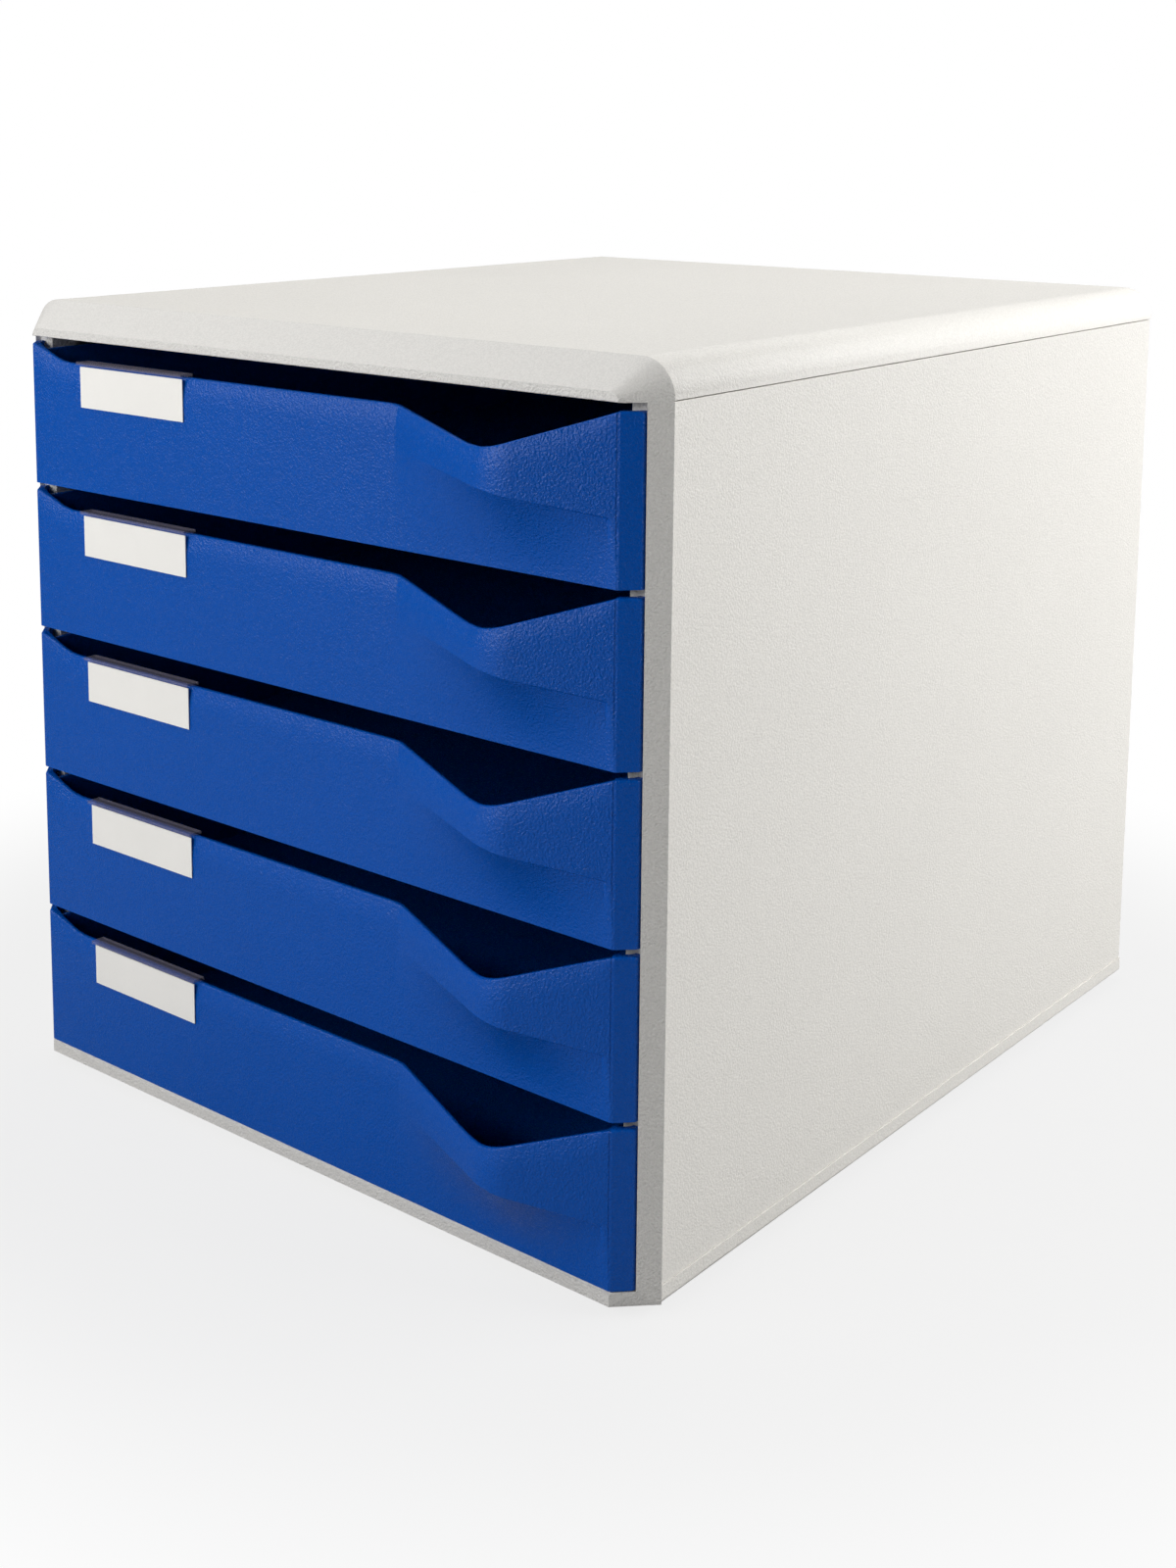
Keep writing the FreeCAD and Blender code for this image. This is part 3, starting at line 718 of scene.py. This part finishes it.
def open_box(low, high, wall):
    """Points and faces of a box open at the top and at its front end, with even walls."""
    (x0, y0, z0), (x1, y1, z1) = low, high
    outer = [(x0, y0, z0), (x1, y0, z0), (x1, y1, z0), (x0, y1, z0)]
    outer += [(x, y, z1) for x, y, _ in outer]
    a0, a1, b1, c0 = x0 + wall, x1 - wall, y1 - wall, z0 + wall
    inner = [(a0, y0, c0), (a1, y0, c0), (a1, b1, c0), (a0, b1, c0)]
    inner += [(x, y, z1) for x, y, _ in inner]
    faces = [(0, 1, 2, 3), (1, 2, 6, 5), (2, 3, 7, 6), (3, 0, 4, 7)]
    faces += [(8, 9, 10, 11), (9, 10, 14, 13), (10, 11, 15, 14), (11, 8, 12, 15)]
    faces += [(5, 6, 14, 13), (6, 7, 15, 14), (7, 4, 12, 15)]
    faces += [(0, 1, 9, 8), (1, 5, 13, 9), (0, 8, 12, 4)]
    return outer + inner, faces


def block(low, high):
    """Points and faces of a box."""
    (x0, y0, z0), (x1, y1, z1) = low, high
    points = [(x, y, z) for z in (z0, z1) for x, y in ((x0, y0), (x1, y0), (x1, y1), (x0, y1))]
    faces = [(0, 1, 2, 3), (4, 5, 6, 7), (0, 1, 5, 4), (1, 2, 6, 5), (2, 3, 7, 6), (3, 0, 4, 7)]
    return points, faces


def joined(shapes):
    """Points and faces of several closed shapes together."""
    points, faces = [], []
    for more, sides in shapes:
        faces += [tuple(len(points) + corner for corner in side) for side in sides]
        points += more
    return points, faces


def tray_piece(name, sizes, level, place_y, rear):
    """One tray, with the stops that meet the frame when the drawer is fully out."""
    half = sizes.tray_width / 2
    near = (-half, place_y + sizes.tray_start, level + sizes.tray_foot)
    shapes = [open_box(near, (half, rear, level + sizes.tray_top), sizes.tray_wall)]
    root, tip = half - sizes.stop_root, half + sizes.stop_reach
    start, foot = place_y + sizes.stop_place, level + sizes.stop_foot
    far_end, top = start + sizes.stop_length, level + sizes.stop_top
    for left, right in ((-tip, -root), (root, tip)):
        shapes.append(block((left, start, foot), (right, far_end, top)))
    tray = mesh_object(name, *joined(shapes))
    soften(tray, TRAY_SOFT)
    return tray


# Operators

# CAD nodes of the casing: name, material, and width and segments of the softened edges.
# The feet keep the plain foot_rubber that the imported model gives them.
CASING = (
    ("front_frame", "frame_grained", 0.0004, 3),
    ("top_cover", "casing_grained", 0.0003, 2),
    ("base", "casing_grained", 0.0003, 2),
    ("side_panel_left", "casing_grained", 0.0002, 2),
    ("side_panel_right", "casing_grained", 0.0002, 2),
    ("rear_panel", "casing_grained", 0.0002, 2),
    *((f"foot_{number}", "foot_rubber", 0.0006, 3) for number in range(1, 5)),
)
# Width of a label holder's softened edges
HOLDER_SOFT = 0.0002
# The casing's grain is shallower than that of the drawers, and the frame's is deeper.
CASING_DEPTH = 0.6
FRAME_DEPTH = 1.4


def settings():
    """The three groups of properties: sizes, finish and stage."""
    scene = bpy.context.scene
    return scene.drawer_unit_sizes, scene.drawer_unit_finish, scene.drawer_unit_stage


class DRAWERUNIT_OT_materials(bpy.types.Operator):
    """Make the finishes that the pieces share"""

    bl_idname = "drawerunit.materials"
    bl_label = "Make finishes"

    def execute(self, context):
        _, finish, _ = settings()
        grain_group()
        drift_group()
        size, depth = finish.grain_size, finish.grain_depth
        blue, white, grey = finish.drawer_blue, finish.casing_white, finish.frame_grey_painted_shade
        moulded("blue_grained", blue, size, depth, roughness=0.22, drift=0.03, gloss=0.22)
        moulded("casing_grained", white, size, depth * CASING_DEPTH, roughness=0.5)
        # The frame has the casing's plastic, with a darker colour that is painted shade.
        moulded("frame_grained", grey, size, depth * FRAME_DEPTH, roughness=0.46, plain_top=True)
        card_material("card_white", finish.card_white)
        clear_material("holder_clear", finish.clear_tint)
        return {"FINISHED"}


class DRAWERUNIT_OT_casing(bpy.types.Operator):
    """Dress the front frame, cover, side panels, base, rear panel and feet"""

    bl_idname = "drawerunit.casing"
    bl_label = "Dress casing"

    def execute(self, context):
        for node, material, width, segments in CASING:
            dress(node, bpy.data.materials[material], width, segments)
        return {"FINISHED"}


class DRAWERUNIT_OT_drawers(bpy.types.Operator):
    """Build the drawer fronts and their trays"""

    bl_idname = "drawerunit.drawers"
    bl_label = "Build drawers"

    def execute(self, context):
        sizes, _, _ = settings()
        blue = bpy.data.materials["blue_grained"]
        for name in DRAWERS:
            number = name.rsplit("_", 1)[1]
            low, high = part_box(name)
            front_y = low.y + sizes.grip_reach
            body = f"tray_{number}"
            front = front_piece(f"front_{number}", sizes, low.z, front_y, high.x)
            finish_piece(front, blue, body)
            tray = tray_piece(f"trough_{number}", sizes, low.z, front_y, high.y)
            finish_piece(tray, blue, body)
            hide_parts(name)
        return {"FINISHED"}


class DRAWERUNIT_OT_labels(bpy.types.Operator):
    """Dress the label holders and their cards"""

    bl_idname = "drawerunit.labels"
    bl_label = "Dress labels"

    def execute(self, context):
        for name in DRAWERS:
            number = name.rsplit("_", 1)[1]
            dress(f"label_holder_{number}", bpy.data.materials["holder_clear"], HOLDER_SOFT)
            dress(f"label_card_{number}", bpy.data.materials["card_white"])
        return {"FINISHED"}


# Stage

FLOOR_REACH = 12.0
# Softboxes: name, azimuth, elevation, distance, width, height and the height they aim at
LAMPS = (
    ("front", -18, 20, 1.0, 1.0, 0.35, 0.2),
    ("low", -8, 3, 0.95, 0.95, 0.5, 0.2),
    ("side", 125, 25, 1.2, 1.0, 0.8, 0.2),
    ("rear", 205, 62, 0.95, 0.9, 0.9, 0.25),
    ("high", -60, 65, 1.0, 0.8, 0.8, 0.25),
)
# The photograph's camera: focal length and long side in pixels, place, and turns in degrees
FOCAL_LENGTH = 2118.7
LONG_SIDE = 1600
SENSOR_WIDTH = 36
LENS_SHIFT = (0.0375, -0.23)
CLIP_SPAN = (0.02, 60)
CAMERA_PLACE = (0.48606, -0.62253, 0.35845)
CAMERA_TURNS = (39.804, 8.423, 0.274)


def softbox(name, azimuth, elevation, distance, width, height, level, energy):
    """A rectangular area lamp that looks at a level of the unit's axis from a direction."""
    a, e = math.radians(azimuth), math.radians(elevation)
    back = Vector((math.sin(a) * math.cos(e), -math.cos(a) * math.cos(e), math.sin(e)))
    data = bpy.data.lights.new(name, "AREA")
    data.shape = "RECTANGLE"
    data.size = width
    data.size_y = height
    data.energy = energy
    lamp = bpy.data.objects.new(name, data)
    lamp.location = Vector((0, 0, level)) + back * distance
    lamp.rotation_mode = "QUATERNION"
    lamp.rotation_quaternion = back.to_track_quat("Z", "Y")
    bpy.context.scene.collection.objects.link(lamp)


def surroundings(strength):
    """A world that looks plain white and lights the unit with its own strength."""
    world = bpy.data.worlds.new("plain_surroundings")
    bpy.context.scene.world = world
    world.use_nodes = True
    world.node_tree.nodes.clear()
    nodes = Nodes(world.node_tree)
    glow = nodes.ramp(nodes.seen(), (0.0, 1.0), (strength, 1.0), smooth=False)
    sky = nodes.add("ShaderNodeBackground", {"Color": WHITE, "Strength": glow})
    nodes.add("ShaderNodeOutputWorld", {"Surface": sky.outputs[0]})


def photo_camera():
    """The camera at the photograph's angle, with part of its lens shift."""
    data = bpy.data.cameras.new("photo_camera")
    data.sensor_width = SENSOR_WIDTH
    data.sensor_fit = "AUTO"
    data.lens = FOCAL_LENGTH / LONG_SIDE * data.sensor_width
    data.shift_x, data.shift_y = LENS_SHIFT
    data.clip_start, data.clip_end = CLIP_SPAN
    camera = bpy.data.objects.new("photo_camera", data)
    azimuth, fall, roll = (math.radians(angle) for angle in CAMERA_TURNS)
    ahead = Vector(
        (-math.sin(azimuth) * math.cos(fall), math.cos(azimuth) * math.cos(fall), -math.sin(fall))
    )
    right = Vector((math.cos(azimuth), math.sin(azimuth), 0))
    up = right.cross(ahead)
    right, up = (
        right * math.cos(roll) + up * math.sin(roll),
        up * math.cos(roll) - right * math.sin(roll),
    )
    turn = Matrix((right, up, -ahead)).transposed()
    camera.matrix_world = Matrix.Translation(CAMERA_PLACE) @ turn.to_4x4()
    bpy.context.scene.collection.objects.link(camera)
    bpy.context.scene.camera = camera


class DRAWERUNIT_OT_stage(bpy.types.Operator):
    """Set the floor, the lamps, the surroundings and the camera"""

    bl_idname = "drawerunit.stage"
    bl_label = "Set stage"

    def execute(self, context):
        _, _, stage = settings()
        far = FLOOR_REACH
        corners = [(-far, -far, 0), (far, -far, 0), (far, far, 0), (-far, far, 0)]
        floor = mesh_object("floor", corners, [(0, 1, 2, 3)])
        floor_material("floor_pale", stage.floor_white, stage.shadow_reach, stage.white_from)
        floor.data.materials.append(bpy.data.materials["floor_pale"])
        for name, *shape in LAMPS:
            softbox(f"{name}_softbox", *shape, getattr(stage, f"{name}_light"))
        surroundings(stage.sky_light)
        photo_camera()
        context.scene.view_settings.view_transform = "Standard"
        return {"FINISHED"}


STEPS = (
    DRAWERUNIT_OT_materials,
    DRAWERUNIT_OT_casing,
    DRAWERUNIT_OT_drawers,
    DRAWERUNIT_OT_labels,
    DRAWERUNIT_OT_stage,
)


class DRAWERUNIT_PT_panel(bpy.types.Panel):
    """Sizes, finishes and steps of the drawer unit"""

    bl_label = "Drawer unit"
    bl_idname = "DRAWERUNIT_PT_panel"
    bl_space_type = "VIEW_3D"
    bl_region_type = "UI"
    bl_category = "Drawer unit"

    def draw(self, context):
        for group_of_settings in settings():
            box = self.layout.box()
            for name in group_of_settings.__annotations__:
                box.prop(group_of_settings, name)
        for step in STEPS:
            self.layout.operator(step.bl_idname)


CLASSES = (DrawerUnitSizes, DrawerUnitFinish, DrawerUnitStage, *STEPS, DRAWERUNIT_PT_panel)


def register():
    for kind in CLASSES:
        bpy.utils.register_class(kind)
    bpy.types.Scene.drawer_unit_sizes = bpy.props.PointerProperty(type=DrawerUnitSizes)
    bpy.types.Scene.drawer_unit_finish = bpy.props.PointerProperty(type=DrawerUnitFinish)
    bpy.types.Scene.drawer_unit_stage = bpy.props.PointerProperty(type=DrawerUnitStage)


def unregister():
    del bpy.types.Scene.drawer_unit_stage
    del bpy.types.Scene.drawer_unit_finish
    del bpy.types.Scene.drawer_unit_sizes
    for kind in reversed(CLASSES):
        bpy.utils.unregister_class(kind)


def main():
    register()
    bpy.ops.drawerunit.materials()
    bpy.ops.drawerunit.casing()
    bpy.ops.drawerunit.drawers()
    bpy.ops.drawerunit.labels()
    bpy.ops.drawerunit.stage()


if __name__ == "__main__":
    main()
